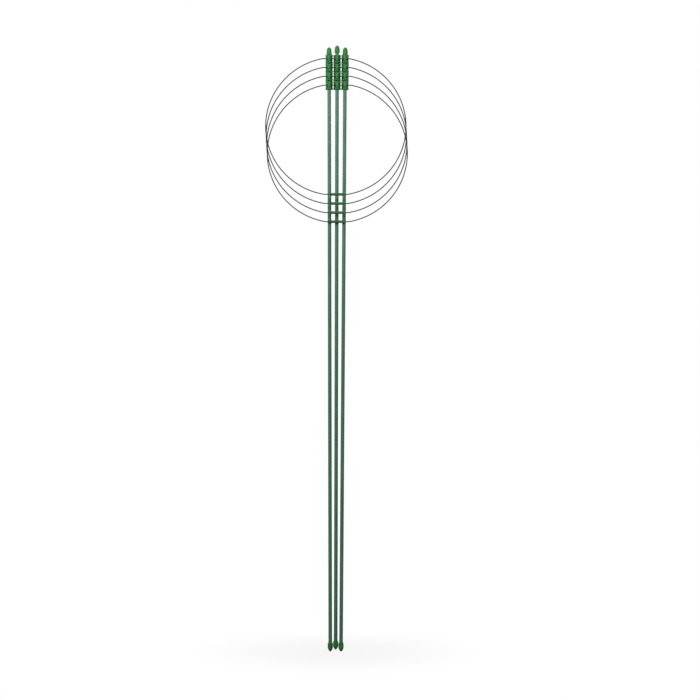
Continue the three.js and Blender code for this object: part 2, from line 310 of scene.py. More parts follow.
def extruded_polyethylene(settings):
    """Polyethylene drawn over a steel tube: a smooth greyer green with a satin sheen.

    The die leaves fine lines along the stake, handling leaves dull patches on the gloss and pale
    rub marks that run lengthwise, and painted shade darkens the sides that face another stake.
    """
    material, tree = new_material("extruded polyethylene coat, green")
    place = add_node(tree, "ShaderNodeTexCoord").outputs["Object"]
    # Die lines are 0.7 mm apart round the stake and run for 90 mm along it
    along = add_node(tree, "ShaderNodeMapping", inputs={
        "Vector": place,
        "Scale": (per_metre(0.7 * MM), per_metre(0.7 * MM), per_metre(90 * MM)),
    })
    lines = add_node(tree, "ShaderNodeTexNoise", inputs={
        "Vector": along.outputs["Vector"], "Scale": 1.0, "Detail": 2.0,
    })
    # The coat's colour drifts over about 60 mm
    clouds = add_node(tree, "ShaderNodeTexNoise", inputs={
        "Vector": place, "Scale": per_metre(60 * MM), "Detail": 4.0,
    })
    mottle = add_node(tree, "ShaderNodeMix", {"data_type": "FLOAT"}, {
        "Factor": 0.45, "A": clouds.outputs["Fac"], "B": lines.outputs["Fac"],
    })
    uneven = add_node(tree, "ShaderNodeMapRange", inputs={
        "Value": mottle.outputs["Result"], "From Min": 0.38, "From Max": 0.62,
    })
    coat = add_node(tree, "ShaderNodeMix", {"data_type": "RGBA"}, {
        "Factor": uneven.outputs["Result"],
        "A": opaque(settings.coat_colour, 0.84),
        "B": opaque(settings.coat_colour, 1.14),
    })
    # Rub marks are about 1.5 mm across and 25 mm long
    lengthwise = add_node(tree, "ShaderNodeMapping", inputs={
        "Vector": place,
        "Scale": (per_metre(1.5 * MM), per_metre(1.5 * MM), per_metre(25 * MM)),
    })
    marks = add_node(tree, "ShaderNodeTexNoise", inputs={
        "Vector": lengthwise.outputs["Vector"], "Scale": 1.0, "Detail": 5.0, "Roughness": 0.65,
    })
    pale = add_node(tree, "ShaderNodeMapRange", inputs={
        "Value": marks.outputs["Fac"], "From Min": 0.58, "From Max": 0.72, "To Max": 0.5,
    })
    handled = add_node(tree, "ShaderNodeMix", {"data_type": "RGBA"}, {
        "Factor": pale.outputs["Result"],
        "A": coat.outputs["Result"],
        "B": opaque(linear(RUBBED_COAT)),
    })
    # Painted shade: the coat darkens, down to three tenths of its colour, where it faces a stake or
    # clip
    gap_shaded = painted_gap_shade(tree, handled.outputs["Result"], opaque(settings.coat_colour, 0.3), 0.4, 0.95)
    # Dull patches from hands and gloves are about 5 mm across
    scuffs = add_node(tree, "ShaderNodeTexNoise", inputs={
        "Vector": place, "Scale": per_metre(5 * MM), "Detail": 5.0, "Roughness": 0.7,
    })
    dull = add_node(tree, "ShaderNodeMapRange", inputs={
        "Value": scuffs.outputs["Fac"],
        "From Min": 0.35, "From Max": 0.75, "To Min": 0.4, "To Max": 0.58,
    })
    relief = add_node(tree, "ShaderNodeBump", inputs={
        "Strength": 0.15, "Distance": 0.03 * MM, "Height": lines.outputs["Fac"],
    })
    plastic = add_node(tree, "ShaderNodeBsdfPrincipled", inputs={
        "Base Color": gap_shaded.outputs["Result"],
        "Roughness": dull.outputs["Result"],
        "IOR": 1.51,
        "Specular IOR Level": 0.3,
        "Normal": relief.outputs["Normal"],
    })
    add_node(tree, "ShaderNodeOutputMaterial", inputs={"Surface": plastic.outputs["BSDF"]})
    return material


def coated_spring_wire(settings):
    """Spring wire dipped in vinyl: dark grey green, with slow waves where the dip ran thick."""
    material, tree = new_material("vinyl dipped spring wire, grey green")
    place = add_node(tree, "ShaderNodeTexCoord").outputs["Object"]
    # The dip runs thick about every 9 mm
    waves = add_node(tree, "ShaderNodeTexNoise", inputs={
        "Vector": place, "Scale": per_metre(9 * MM), "Detail": 3.0,
    })
    runs = add_node(tree, "ShaderNodeMapRange", inputs={
        "Value": waves.outputs["Fac"], "From Min": 0.35, "From Max": 0.65,
    })
    dip = add_node(tree, "ShaderNodeMix", {"data_type": "RGBA"}, {
        "Factor": runs.outputs["Result"],
        "A": opaque(settings.wire_colour, 0.72),
        "B": opaque(settings.wire_colour, 1.28),
    })
    sheen = add_node(tree, "ShaderNodeMapRange", inputs={
        "Value": waves.outputs["Fac"], "To Min": 0.5, "To Max": 0.66,
    })
    relief = add_node(tree, "ShaderNodeBump", inputs={
        "Strength": 0.5, "Distance": 0.08 * MM, "Height": waves.outputs["Fac"],
    })
    vinyl = add_node(tree, "ShaderNodeBsdfPrincipled", inputs={
        "Base Color": dip.outputs["Result"],
        "Roughness": sheen.outputs["Result"],
        "IOR": 1.53,
        "Specular IOR Level": 0.2,
        "Normal": relief.outputs["Normal"],
    })
    add_node(tree, "ShaderNodeOutputMaterial", inputs={"Surface": vinyl.outputs["BSDF"]})
    return material


def galvanised_steel(settings):
    """Galvanised steel tube: a bright grey metal with large, faint crystals of zinc."""
    material, tree = new_material("galvanised steel tube")
    place = add_node(tree, "ShaderNodeTexCoord").outputs["Object"]
    # Crystals of zinc are about 6 mm across
    crystals = add_node(tree, "ShaderNodeTexVoronoi", inputs={
        "Vector": place, "Scale": per_metre(6 * MM),
    })
    zinc = add_node(tree, "ShaderNodeMix", {"data_type": "RGBA"}, {
        "Factor": crystals.outputs["Distance"],
        "A": opaque(settings.steel_colour, 0.88),
        "B": opaque(settings.steel_colour, 1.08),
    })
    sheen = add_node(tree, "ShaderNodeMapRange", inputs={
        "Value": crystals.outputs["Distance"], "To Min": 0.3, "To Max": 0.45,
    })
    metal = add_node(tree, "ShaderNodeBsdfPrincipled", inputs={
        "Base Color": zinc.outputs["Result"],
        "Metallic": 1.0,
        "Roughness": sheen.outputs["Result"],
    })
    add_node(tree, "ShaderNodeOutputMaterial", inputs={"Surface": metal.outputs["BSDF"]})
    return material


# Shapes

# Room between pieces that turn or slide on each other, and above the top clips
CLEARANCE = 0.3 * MM
GAP_ABOVE_TOP_CLIPS = 0.5 * MM

# A turned shape closes to one vertex where its outline is nearer its axis than this
ON_AXIS = 0.001 * MM


def rounded(points):
    """A closed outline of (x, y, fillet) points with each corner rounded by its fillet."""
    outline = []
    for k, (x, y, fillet) in enumerate(points):
        if not fillet:
            outline.append((x, y))
            continue
        corner = Vector((x, y))
        before = (Vector(points[k - 1][:2]) - corner).normalized()
        after = (Vector(points[(k + 1) % len(points)][:2]) - corner).normalized()
        half = before.angle(after) / 2
        centre = corner + (before + after).normalized() * (fillet / math.sin(half))
        start = corner + before * (fillet / math.tan(half)) - centre
        end = corner + after * (fillet / math.tan(half)) - centre
        sweep = start.angle_signed(end)
        for step in range(FILLET_STEPS + 1):
            turn = -sweep * step / FILLET_STEPS
            spoke = Matrix.Rotation(turn, 2) @ start
            outline.append(tuple(centre + spoke))
    return outline


def skin(bm, rings, closed=False):
    """Joins rings of vertices into one surface; a ring of one vertex is a closed end."""
    pairs = list(zip(rings, rings[1:]))
    if closed:
        pairs.append((rings[-1], rings[0]))
    for low, high in pairs:
        count = max(len(low), len(high))
        for k in range(count):
            a, b = low[k % len(low)], low[(k + 1) % len(low)]
            c, d = high[(k + 1) % len(high)], high[k % len(high)]
            corners = list(dict.fromkeys((a, b, c, d)))
            if len(corners) > 2:
                bm.faces.new(corners)


def finished(bm):
    """A mesh from bm with its faces outwards, smooth but for its sharp edges."""
    bmesh.ops.recalc_face_normals(bm, faces=bm.faces)
    mesh = bpy.data.meshes.new("shape")
    bm.to_mesh(mesh)
    bm.free()
    mesh.shade_smooth()
    mesh.set_sharp_from_angle(angle=SHARP_ANGLE)
    return mesh


def turns(sides):
    """The angle of each corner of a round shape."""
    return [2 * math.pi * k / sides for k in range(sides)]


def turned(outline, sides, closed=False, seam=0.0):
    """A turned shape about Z. A seam raises the mould's parting line at both sides."""
    bm = bmesh.new()
    rings = []
    for radius, level in outline:
        if radius < ON_AXIS:
            rings.append([bm.verts.new((0, 0, level))])
            continue
        ring = []
        for k, turn in enumerate(turns(sides)):
            raised = radius + (seam if k % (sides // 2) == 0 else 0.0)
            ring.append(bm.verts.new((raised * math.cos(turn), raised * math.sin(turn), level)))
        rings.append(ring)
    skin(bm, rings, closed)
    return finished(bm)


def bar_along_x(radius, reach, forward, sides, fillet=0.0):
    """A round bar along X with rounded ends, at a distance in front of the stake's axis."""
    outline = [(0, -reach, 0), (radius, -reach, fillet), (radius, reach, fillet), (0, reach, 0)]
    mesh = turned(rounded(outline), sides)
    mesh.transform(Matrix.Translation((0, -forward, 0)) @ Matrix.Rotation(math.pi / 2, 4, "Y"))
    return mesh


def block(low, high):
    """A plain block between two corners, only used as a cutter or a core."""
    bm = bmesh.new()
    bmesh.ops.create_cube(bm, size=1)
    size = Vector(high) - Vector(low)
    middle = (Vector(high) + Vector(low)) / 2
    bmesh.ops.scale(bm, vec=size, verts=bm.verts)
    bmesh.ops.translate(bm, vec=middle, verts=bm.verts)
    return finished(bm)


def prism(outline, low, high, axis):
    """An outline in two axes, drawn out along the third from low to high."""
    bm = bmesh.new()
    ends = []
    for level in (low, high):
        ring = []
        for a, b in outline:
            ring.append(bm.verts.new((a, level, b) if axis == "Y" else (level, a, b)))
        ends.append(ring)
        bm.faces.new(ring)
    skin(bm, ends)
    return finished(bm)


def scratch_object(mesh):
    """A helper object that carries modifiers and is removed again."""
    piece = bpy.data.objects.new("scratch", mesh)
    bpy.context.scene.collection.objects.link(piece)
    return piece


def combined(base, steps):
    """Boolean of a base mesh with a list of (operation, mesh), as one clean mesh."""
    target = scratch_object(base)
    helpers = []
    for operation, mesh in steps:
        helper = scratch_object(mesh)
        helpers.append(helper)
        change = target.modifiers.new(operation, "BOOLEAN")
        change.operation = operation
        change.solver = "EXACT"
        change.object = helper
    return evaluated(target, helpers)


def evaluated(target, helpers=()):
    """The mesh of an object with its modifiers applied; the object and its helpers go."""
    bpy.context.view_layer.update()
    graph = bpy.context.evaluated_depsgraph_get()
    mesh = bpy.data.meshes.new_from_object(target.evaluated_get(graph))
    for piece in (target, *helpers):
        bpy.data.objects.remove(piece)
    return mesh


def stake_frame(stake, place):
    """Where a stake stands: its foot and its lean, from its place -1, 0 or 1."""
    lean = place * math.atan((stake.spacing_at_top - stake.spacing_at_foot) / stake.length)
    foot = (place * stake.spacing_at_foot, 0, -abs(place) * stake.outer_drop)
    return Matrix.Translation(foot) @ Matrix.Rotation(lean, 4, "Y")


def ring_level(settings, ring):
    """Height of a ring's straight run in its clips."""
    cap_foot = settings.stake.length - settings.stake.outer_drop - settings.cap.top_height
    top = cap_foot - GAP_ABOVE_TOP_CLIPS - settings.clip.height / 2
    return top - (ring - 1) * settings.ring.pitch


def wire_forward(settings):
    """Distance of the wires' straight runs in front of the stakes' axes."""
    return (settings.stake.diameter + settings.ring.sleeve_diameter) / 2 + CLEARANCE


def channel_radius(settings):
    """Radius of the hole that a wire runs through in a clip or a sleeve."""
    return settings.ring.wire_diameter / 2 + CLEARANCE


def socket_radius(settings):
    """Radius of the hole that a stake stands in, in a cap or a clip."""
    return settings.stake.diameter / 2 + CLEARANCE


def place_piece(name, mesh, material, body, slot, *nodes):
    """Puts a finished piece in the scene, on its body and in place of its CAD nodes."""
    mesh.materials.clear()
    mesh.materials.append(material)
    mesh.name = name
    piece = bpy.data.objects.new(name, mesh)
    bpy.context.scene.collection.objects.link(piece)
    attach(piece, body)
    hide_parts(*nodes)


def shared_plastic(settings):
    """The one plastic that the caps and clips are moulded in."""
    name = "moulded polypropylene, green"
    found = bpy.data.materials.get(name)
    return found or moulded_polypropylene(name, settings.cap.plastic_colour)


# Stakes

COAT_END_FILLET = 0.15 * MM

# Rows of vertices along a stake keep its long faces from being slivers
COAT_ROWS = 48
LONG_SIDE = 500 * MM


def with_rows(outline):
    """A closed outline whose long sides are split into rows."""
    split = []
    for k, (radius, level) in enumerate(outline):
        next_radius, next_level = outline[(k + 1) % len(outline)]
        rows = COAT_ROWS if abs(next_level - level) > LONG_SIDE else 1
        for row in range(rows):
            share = row / rows
            split.append((
                radius + (next_radius - radius) * share, level + (next_level - level) * share,
            ))
    return split


class SUPPORT_OT_stakes(bpy.types.Operator):
    """Add the three coated stakes"""

    bl_idname = "plant_support.stakes"
    bl_label = "Stakes"

    def execute(self, context):
        settings = context.scene.plant_support
        stake = settings.stake
        coat = extruded_polyethylene(stake)
        steel = galvanised_steel(stake)
        outer = stake.diameter / 2
        inner = outer - stake.coat_wall
        for side, place in STAKES:
            low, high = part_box(f"{side}_stake_coat")
            lean = stake_frame(stake, place)
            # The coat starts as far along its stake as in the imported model
            bottom = (lean.inverted() @ Vector((lean.translation.x, 0, low.z))).z
            top = bottom + (high.z - low.z)
            outline = rounded([
                (inner, bottom, 0),
                (outer, bottom, COAT_END_FILLET),
                (outer, top, COAT_END_FILLET),
                (inner, top, 0),
            ])
            mesh = turned(with_rows(outline), STAKE_SIDES, closed=True)
            mesh.transform(lean)
            place_piece(
                f"{side}_coat", mesh, coat, "stakes", "stake_coat", f"{side}_stake_coat",
            )
            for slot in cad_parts[f"{side}_stake_tube"].material_slots:
                slot.material = steel
        return {"FINISHED"}


# Caps

# The sockets that the stakes' ends stand in
TOP_SOCKET_DEPTH = 12 * MM
BOTTOM_SOCKET_DEPTH = 14 * MM
SOCKET_FLOOR_FILLET = 0.8 * MM
TOP_MOUTH_FILLET = 0.3 * MM
BOTTOM_MOUTH_FILLET = 0.2 * MM

# Fine relief: the step beside a rim band, and the parting line that the mould leaves
BAND_STEP = 0.3 * MM
BAND_FILLET = 0.25 * MM
SEAM_HEIGHT = 0.06 * MM

# The rim band and the nib of a top cap
TOP_RIM_FILLET = 0.7 * MM
TOP_BAND_HEIGHT = 2.4 * MM
TOP_BAND_SLOPE = 0.5 * MM
NIB_FOOT_FILLET = 0.2 * MM
NIB_FILLET = 0.4 * MM

# The tip, the groove and the shoulder of a bottom cap
TIP_FILLET = 0.3 * MM
GROOVE_BELOW_SHOULDER = 1.8 * MM
GROOVE_HEIGHT = 1.4 * MM
GROOVE_SLOPE = 0.4 * MM
GROOVE_FILLET = 0.15 * MM
SHOULDER_WIDTH = 1.3 * MM
SHOULDER_HEIGHT = 3.6 * MM
SHOULDER_FILLET = 1.2 * MM
BOTTOM_RIM_FILLET = 0.3 * MM


def top_cap_mesh(settings):
    """A bullet shaped cap: a socket, a rim band, a straight wall and a nose with a nib."""
    cap = settings.cap
    rim = cap.top_diameter / 2
    wall = rim - BAND_STEP
    nib = cap.nib_diameter / 2
    socket = socket_radius(settings)
    nose_top = cap.top_height - cap.nib_height
    nose_foot = nose_top - cap.nose_height
    outline = [
        (0, TOP_SOCKET_DEPTH, 0),
        (socket, TOP_SOCKET_DEPTH, SOCKET_FLOOR_FILLET),
        (socket, 0, TOP_MOUTH_FILLET),
        (rim, 0, TOP_RIM_FILLET),
        (rim, TOP_BAND_HEIGHT, BAND_FILLET),
        (wall, TOP_BAND_HEIGHT + TOP_BAND_SLOPE, BAND_FILLET),
    ]
    for step in range(NOSE_STEPS):
        turn = step / NOSE_STEPS * math.pi / 2
        outline.append((
            nib + (wall - nib) * math.cos(turn), nose_foot + cap.nose_height * math.sin(turn), 0,
        ))
    outline += [
        (nib, nose_top, NIB_FOOT_FILLET),
        (nib, cap.top_height, NIB_FILLET),
        (0, cap.top_height, 0),
    ]
    return turned(rounded(outline), CAP_SIDES, seam=SEAM_HEIGHT)


def bottom_cap_mesh(settings):
    """A blunt point below a straight wall with a groove, and a socket for the stake's end."""
    cap = settings.cap
    wall = cap.bottom_diameter / 2
    tip = cap.tip_diameter / 2
    socket = socket_radius(settings)
    groove = wall - BAND_STEP
    top = cap.bottom_height
    shoulder = top - SHOULDER_HEIGHT
    groove_top = shoulder - GROOVE_BELOW_SHOULDER
    groove_foot = groove_top - GROOVE_HEIGHT
    floor = top - BOTTOM_SOCKET_DEPTH
    outline = [(0, 0, 0), (tip, 0, TIP_FILLET)]
    for step in range(1, NOSE_STEPS + 1):
        climb = step / NOSE_STEPS
        outline.append((
            tip + (wall - tip) * (1 - (1 - climb) ** 2), cap.point_height * climb, 0,
        ))
    outline += [
        (wall, groove_foot, BAND_FILLET),
        (groove, groove_foot + GROOVE_SLOPE, GROOVE_FILLET),
        (groove, groove_top - GROOVE_SLOPE, GROOVE_FILLET),
        (wall, groove_top, BAND_FILLET),
        (wall, shoulder, SHOULDER_FILLET),
        (wall - SHOULDER_WIDTH, top, BOTTOM_RIM_FILLET),
        (socket, top, BOTTOM_MOUTH_FILLET),
        (socket, floor, SOCKET_FLOOR_FILLET),
        (0, floor, 0),
    ]
    return turned(rounded(outline), CAP_SIDES, seam=SEAM_HEIGHT)


class SUPPORT_OT_caps(bpy.types.Operator):
    """Add the bullet shaped top caps and the pointed bottom caps"""

    bl_idname = "plant_support.caps"
    bl_label = "Caps"

    def execute(self, context):
        settings = context.scene.plant_support
        plastic = shared_plastic(settings)
        lift = Matrix.Translation((0, 0, settings.stake.length - settings.cap.top_height))
        for side, place in STAKES:
            lean = stake_frame(settings.stake, place)
            top = top_cap_mesh(settings)
            top.transform(lean @ lift)
            place_piece(
                f"{side}_top_end", top, plastic, "stakes", "moulded_plastic",
                f"{side}_top_cap",
            )
            bottom = bottom_cap_mesh(settings)
            bottom.transform(lean)
            place_piece(
                f"{side}_soil_end", bottom, plastic, "stakes", "moulded_plastic",
                f"{side}_bottom_cap",
            )
        return {"FINISHED"}


# Clips

# How round the ends of the barrel and of the eye are
BARREL_FILLET = 1 * MM
EYE_FILLET = 0.5 * MM

# How far behind the stake's axis the wings start, and how they narrow beside the wire
WING_SETBACK = 1.5 * MM
WING_END_HEIGHT = 4 * MM
WING_SLOPE_HEIGHT = 3 * MM

# How far the keel stops short of the clip's ends, and how far it stands out in front
KEEL_INSET = 1 * MM
KEEL_PROUD_OF_BARREL = 0.9 * MM
KEEL_PROUD_OF_EYE = 1 * MM

# How much the clip's mesh cells are smoothed, and the share of its faces that is kept
SMOOTH_FACTOR = 0.5
SMOOTH_ROUNDS = 3
KEPT_FACES = 0.3


def eye_radius(settings):
    """Outside radius of the eye round the wire."""
    return channel_radius(settings) + settings.clip.eye_wall


def clip_wings(clip):
    """Two flat wings beside the split at the back, where fingers press to open the clip."""
    top = clip.height / 2
    rim = clip.width / 2
    waist = clip.waist_width / 2
    end = top - WING_END_HEIGHT
    slope = end - WING_SLOPE_HEIGHT
    right = [(rim, -top), (rim, -end), (waist, -slope), (waist, slope), (rim, end), (rim, top)]
    left = [(-x, level) for x, level in reversed(right)]
    return prism(right + left, WING_SETBACK, WING_SETBACK + clip.wing_thickness, "Y")


def clip_keel(settings):
    """A raised keel down the front, wide at the clip's two ends and narrow over the eye."""
    clip = settings.clip
    eye = eye_radius(settings)
    forward = wire_forward(settings)
    top = clip.height / 2 - KEEL_INSET
    ends = clip.keel_at_ends / 2
    wire = clip.keel_at_wire / 2
    facing = prism([
        (-ends, -top), (ends, -top), (wire, 0), (ends, top), (-ends, top), (-wire, 0),
    ], -forward - 2 * eye, 0, "Y")
    front = forward + eye + KEEL_PROUD_OF_EYE
    low_front = clip.barrel_diameter / 2 + KEEL_PROUD_OF_BARREL
    profile = prism([
        (0, -top), (-low_front, -top), (-front, 0), (-low_front, top), (0, top),
    ], -ends, ends, "X")
    return combined(facing, [("INTERSECT", profile)])


def softened(mesh, grain):
    """The mesh rebuilt in small cells and smoothed, which rounds its edges as a mould does."""
    piece = scratch_object(mesh)
    cells = piece.modifiers.new("cells", "REMESH")
    cells.mode = "VOXEL"
    cells.voxel_size = grain
    cells.use_smooth_shade = True
    soft = piece.modifiers.new("soft", "SMOOTH")
    soft.factor = SMOOTH_FACTOR
    soft.iterations = SMOOTH_ROUNDS
    fewer = piece.modifiers.new("fewer", "DECIMATE")
    fewer.ratio = KEPT_FACES
    soft_mesh = evaluated(piece)
    soft_mesh.shade_smooth()
    return soft_mesh


def clip_mesh(settings):
    """A split barrel with two wings, an eye for the wire and a keel, as one rounded moulding."""
    clip = settings.clip
    forward = wire_forward(settings)
    top = clip.height / 2
    wall = clip.barrel_diameter / 2
    eye = eye_radius(settings)
    barrel = turned(rounded([
        (0, -top, 0), (wall, -top, BARREL_FILLET), (wall, top, BARREL_FILLET), (0, top, 0),
    ]), CAP_SIDES)
    web = block((-clip.eye_length / 2, -forward, -eye), (clip.eye_length / 2, 0, eye))
    eye_barrel = bar_along_x(eye, clip.eye_length / 2, forward, CAP_SIDES, EYE_FILLET)
    socket = socket_radius(settings)
    bore = turned([
        (0, -clip.height), (socket, -clip.height), (socket, clip.height), (0, clip.height),
    ], CAP_SIDES)
    channel = bar_along_x(channel_radius(settings), clip.width, forward, SLEEVE_SIDES)
    split = block(
        (-clip.split_width / 2, 0, -clip.height),
        (clip.split_width / 2, clip.barrel_diameter, clip.height),
    )
    body = combined(barrel, [
        ("UNION", clip_wings(clip)), ("UNION", web), ("UNION", eye_barrel),
        ("UNION", clip_keel(settings)),
    ])
    body = combined(body, [
        ("DIFFERENCE", bore), ("DIFFERENCE", channel), ("DIFFERENCE", split),
    ])
    return softened(body, clip.grain)


class SUPPORT_OT_clips(bpy.types.Operator):
    """Add the twelve sliding clips"""

    bl_idname = "plant_support.clips"
    bl_label = "Clips"

    def execute(self, context):
        settings = context.scene.plant_support
        plastic = shared_plastic(settings)
        pattern = clip_mesh(settings)
        for side, place in STAKES:
            lean = stake_frame(settings.stake, place)
            for ring in RINGS:
                # Up along the leaning stake to the level of the ring
                rise = (ring_level(settings, ring) - lean.translation.z) / lean[2][2]
                mesh = pattern.copy()
                mesh.transform(lean @ Matrix.Translation((0, 0, rise)))
                place_piece(
                    f"{side}_slider_{ring}_moulding", mesh, plastic, f"{side}_slider_{ring}",
                    "moulded_plastic", f"{side}_clip_{ring}",
                )
        bpy.data.meshes.remove(pattern)
        return {"FINISHED"}


# Rings

# How far right of the centre stake the top ring hangs, how much farther each ring below it does,
# and where the sleeves are
TOP_RING_SHIFT = -3.3 * MM
RING_SHIFT_STEP = 1.5 * MM
SLEEVE_OFFSET = 4 * MM

# The wire runs straight past the clips and the sleeve, then eases into its bend
STRAIGHT_PAST_CLIPS = 5 * MM
STRAIGHT_PAST_SLEEVE = 6 * MM
BEND_EASE = 0.6 * MM

# Between the two ends of a wire inside its sleeve
WIRE_END_GAP = 4 * MM


def sag(ring, reach):
    """How far the oval has dropped from its top at a distance from its middle."""
    return ring.height / 2 * (1 - math.sqrt(1 - (reach / (ring.width / 2)) ** 2))


def ring_levels(settings):
    """Levels of the straight runs in the clips and in the sleeve, from the oval's middle."""
    ring = settings.ring
    straight = settings.stake.spacing_at_top + settings.clip.width / 2 + STRAIGHT_PAST_CLIPS
    sleeve_end = ring.sleeve_length / 2 + abs(SLEEVE_OFFSET - TOP_RING_SHIFT)
    sleeve_straight = sleeve_end + STRAIGHT_PAST_SLEEVE
    return ring.height / 2 - sag(ring, straight), ring.height / 2 - sag(ring, sleeve_straight)


def eased_lower(one, other):
    """The lower of two levels, eased where they meet."""
    overlap = max(BEND_EASE - abs(one - other), 0)
    return min(one, other) - overlap * overlap / (4 * BEND_EASE)


def ring_leans(settings):
    """How far each ring leans out over the next one down, so that their wires clear."""
    # Two neighbours cross half way down, this far below the upper and the lower one's clips
    drop = sum(ring_levels(settings))
    upper = drop / 2 + settings.ring.pitch / 2
    lower = drop / 2 - settings.ring.pitch / 2
    leans = [0.0]
    while len(leans) < len(RINGS):
        stands = lower * math.sin(leans[0]) + settings.ring.wire_diameter + settings.ring.gap
        leans.insert(0, math.asin(stands / upper))
    return leans


def ring_shift(ring):
    """How far right of the centre stake the middle of a ring hangs."""
    return TOP_RING_SHIFT + (ring - 1) * RING_SHIFT_STEP


def ring_frame(settings, ring):
    """Where a ring hangs: the middle of its straight run in the clips, and its lean."""
    middle = (ring_shift(ring), -wire_forward(settings), ring_level(settings, ring))
    lean = ring_leans(settings)[ring - 1]
    return Matrix.Translation(middle) @ Matrix.Rotation(-lean, 4, "X")


def ring_wire_mesh(settings):
    """A ring of wire in the XZ plane, from one end in the sleeve round to the other."""
    ring = settings.ring
    top, bottom = ring_levels(settings)
    # The wire starts and ends half a gap away from the oval's lowest point
    start = math.asin(WIRE_END_GAP / ring.width)
    path = []
    for step in range(WIRE_STEPS + 1):
        turn = start + step / WIRE_STEPS * 2 * (math.pi - start)
        capped = eased_lower(-ring.height / 2 * math.cos(turn), top)
        level = -eased_lower(-capped, bottom)
        path.append(Vector((ring.width / 2 * math.sin(turn), 0, level - top)))
    bm = bmesh.new()
    radius = ring.wire_diameter / 2
    back = Vector((0, 1, 0))
    rings = [[bm.verts.new(path[0])]]
    for k, point in enumerate(path):
        ahead = path[min(k + 1, WIRE_STEPS)] - path[max(k - 1, 0)]
        across = Vector((-ahead.z, 0, ahead.x)).normalized()
        rings.append([
            bm.verts.new(
                point + across * radius * math.cos(turn) + back * radius * math.sin(turn)
            )
            for turn in turns(WIRE_SIDES)
        ])
    rings.append([bm.verts.new(path[-1])])
    skin(bm, rings)
    return finished(bm)


class SUPPORT_OT_ring_wires(bpy.types.Operator):
    """Add the four rings of spring wire"""

    bl_idname = "plant_support.ring_wires"
    bl_label = "Ring Wires"

    def execute(self, context):
        settings = context.scene.plant_support
        vinyl = coated_spring_wire(settings.ring)
        for ring in RINGS:
            mesh = ring_wire_mesh(settings)
            mesh.transform(ring_frame(settings, ring))
            place_piece(
                f"ring_{ring}_hoop", mesh, vinyl, f"ring_{ring}", "coated_wire",
                f"ring_{ring}_wire",
            )
        return {"FINISHED"}


# The raised collars at a sleeve's ends, and how round its edges are
COLLAR_LENGTH = 4.5 * MM
COLLAR_STEP = 0.25 * MM
COLLAR_SLOPE = 0.5 * MM
SLEEVE_END_FILLET = 0.8 * MM
SLEEVE_FILLET = 0.2 * MM


def ring_sleeve_mesh(settings):
    """A short tube with soft ends and a slightly raised collar at each end."""
    ring = settings.ring
    outer = ring.sleeve_diameter / 2
    inner = channel_radius(settings)
    half = ring.sleeve_length / 2
    middle = outer - COLLAR_STEP
    collar = half - COLLAR_LENGTH
    return turned(rounded([
        (inner, -half, SLEEVE_FILLET),
        (outer, -half, SLEEVE_END_FILLET),
        (outer, -collar - COLLAR_SLOPE, SLEEVE_FILLET),
        (middle, -collar, SLEEVE_FILLET),
        (middle, collar, SLEEVE_FILLET),
        (outer, collar + COLLAR_SLOPE, SLEEVE_FILLET),
        (outer, half, SLEEVE_END_FILLET),
        (inner, half, SLEEVE_FILLET),
    ]), SLEEVE_SIDES, closed=True)


class SUPPORT_OT_ring_sleeves(bpy.types.Operator):
    """Add the sleeves that join the ends of each ring"""

    bl_idname = "plant_support.ring_sleeves"
    bl_label = "Ring Sleeves"

    def execute(self, context):
        settings = context.scene.plant_support
        plastic = moulded_polypropylene(
            "moulded polypropylene, dark green", settings.ring.sleeve_colour,
        )
        drop = sum(ring_levels(settings))
        for ring in RINGS:
            below = Matrix.Translation((SLEEVE_OFFSET - ring_shift(ring), 0, -drop))
            lying = Matrix.Rotation(math.pi / 2, 4, "Y")
            mesh = ring_sleeve_mesh(settings)
            mesh.transform(ring_frame(settings, ring) @ below @ lying)
            place_piece(
                f"ring_{ring}_joiner", mesh, plastic, f"ring_{ring}", "moulded_plastic",
                f"ring_{ring}_sleeve",
            )
        return {"FINISHED"}


# Studio

# The floor reaches this many metres each way, in so many squares, a little below the tips
FLOOR_REACH = 20
FLOOR_SQUARES = 8
FLOOR_DROP = 0.2 * MM

# The floor turns plain white between these distances, and keeps this share of its shadow
SHADOW_FADES_FROM = 50 * MM
SHADOW_FADES_TO = 500 * MM
SHADOW_SHARE = 0.12

# Width and height of each light, where it stands and what it points at, in metres
KEY_LIGHT = ((0.6, 1.0), (-1.6, -1.2, 2.3), (0, 0, 1.2))
FILL_LIGHT = ((0.5, 0.5), (0.5, -1.4, 2.1), (0, 0, 1.6))
BACK_LIGHT = ((1.0, 1.2), (0.7, 2.0, 2.2), (0, 0, 1.0))

# The camera looks level along +Y and is rolled a little, to frame the object as in the photo
SENSOR_WIDTH_MM = 36
LENS_MM = 103.5
CAMERA_PLACE = (0.0405, -6.0, 0.893)
CAMERA_ROLL = math.radians(-0.147)
CAMERA_REACH = 100

WHITE = opaque(linear("ffffff"))


def seen_directly(tree):
    """One where a surface is seen, also mirrored or through glass, zero where it gives light."""
    path = add_node(tree, "ShaderNodeLightPath").outputs
    either = add_node(tree, "ShaderNodeMath", {"operation": "MAXIMUM"}, {
        0: path["Is Camera Ray"], 1: path["Is Glossy Ray"],
    })
    return add_node(tree, "ShaderNodeMath", {"operation": "MAXIMUM"}, {
        0: either.outputs["Value"], 1: path["Is Transmission Ray"],
    }).outputs["Value"]


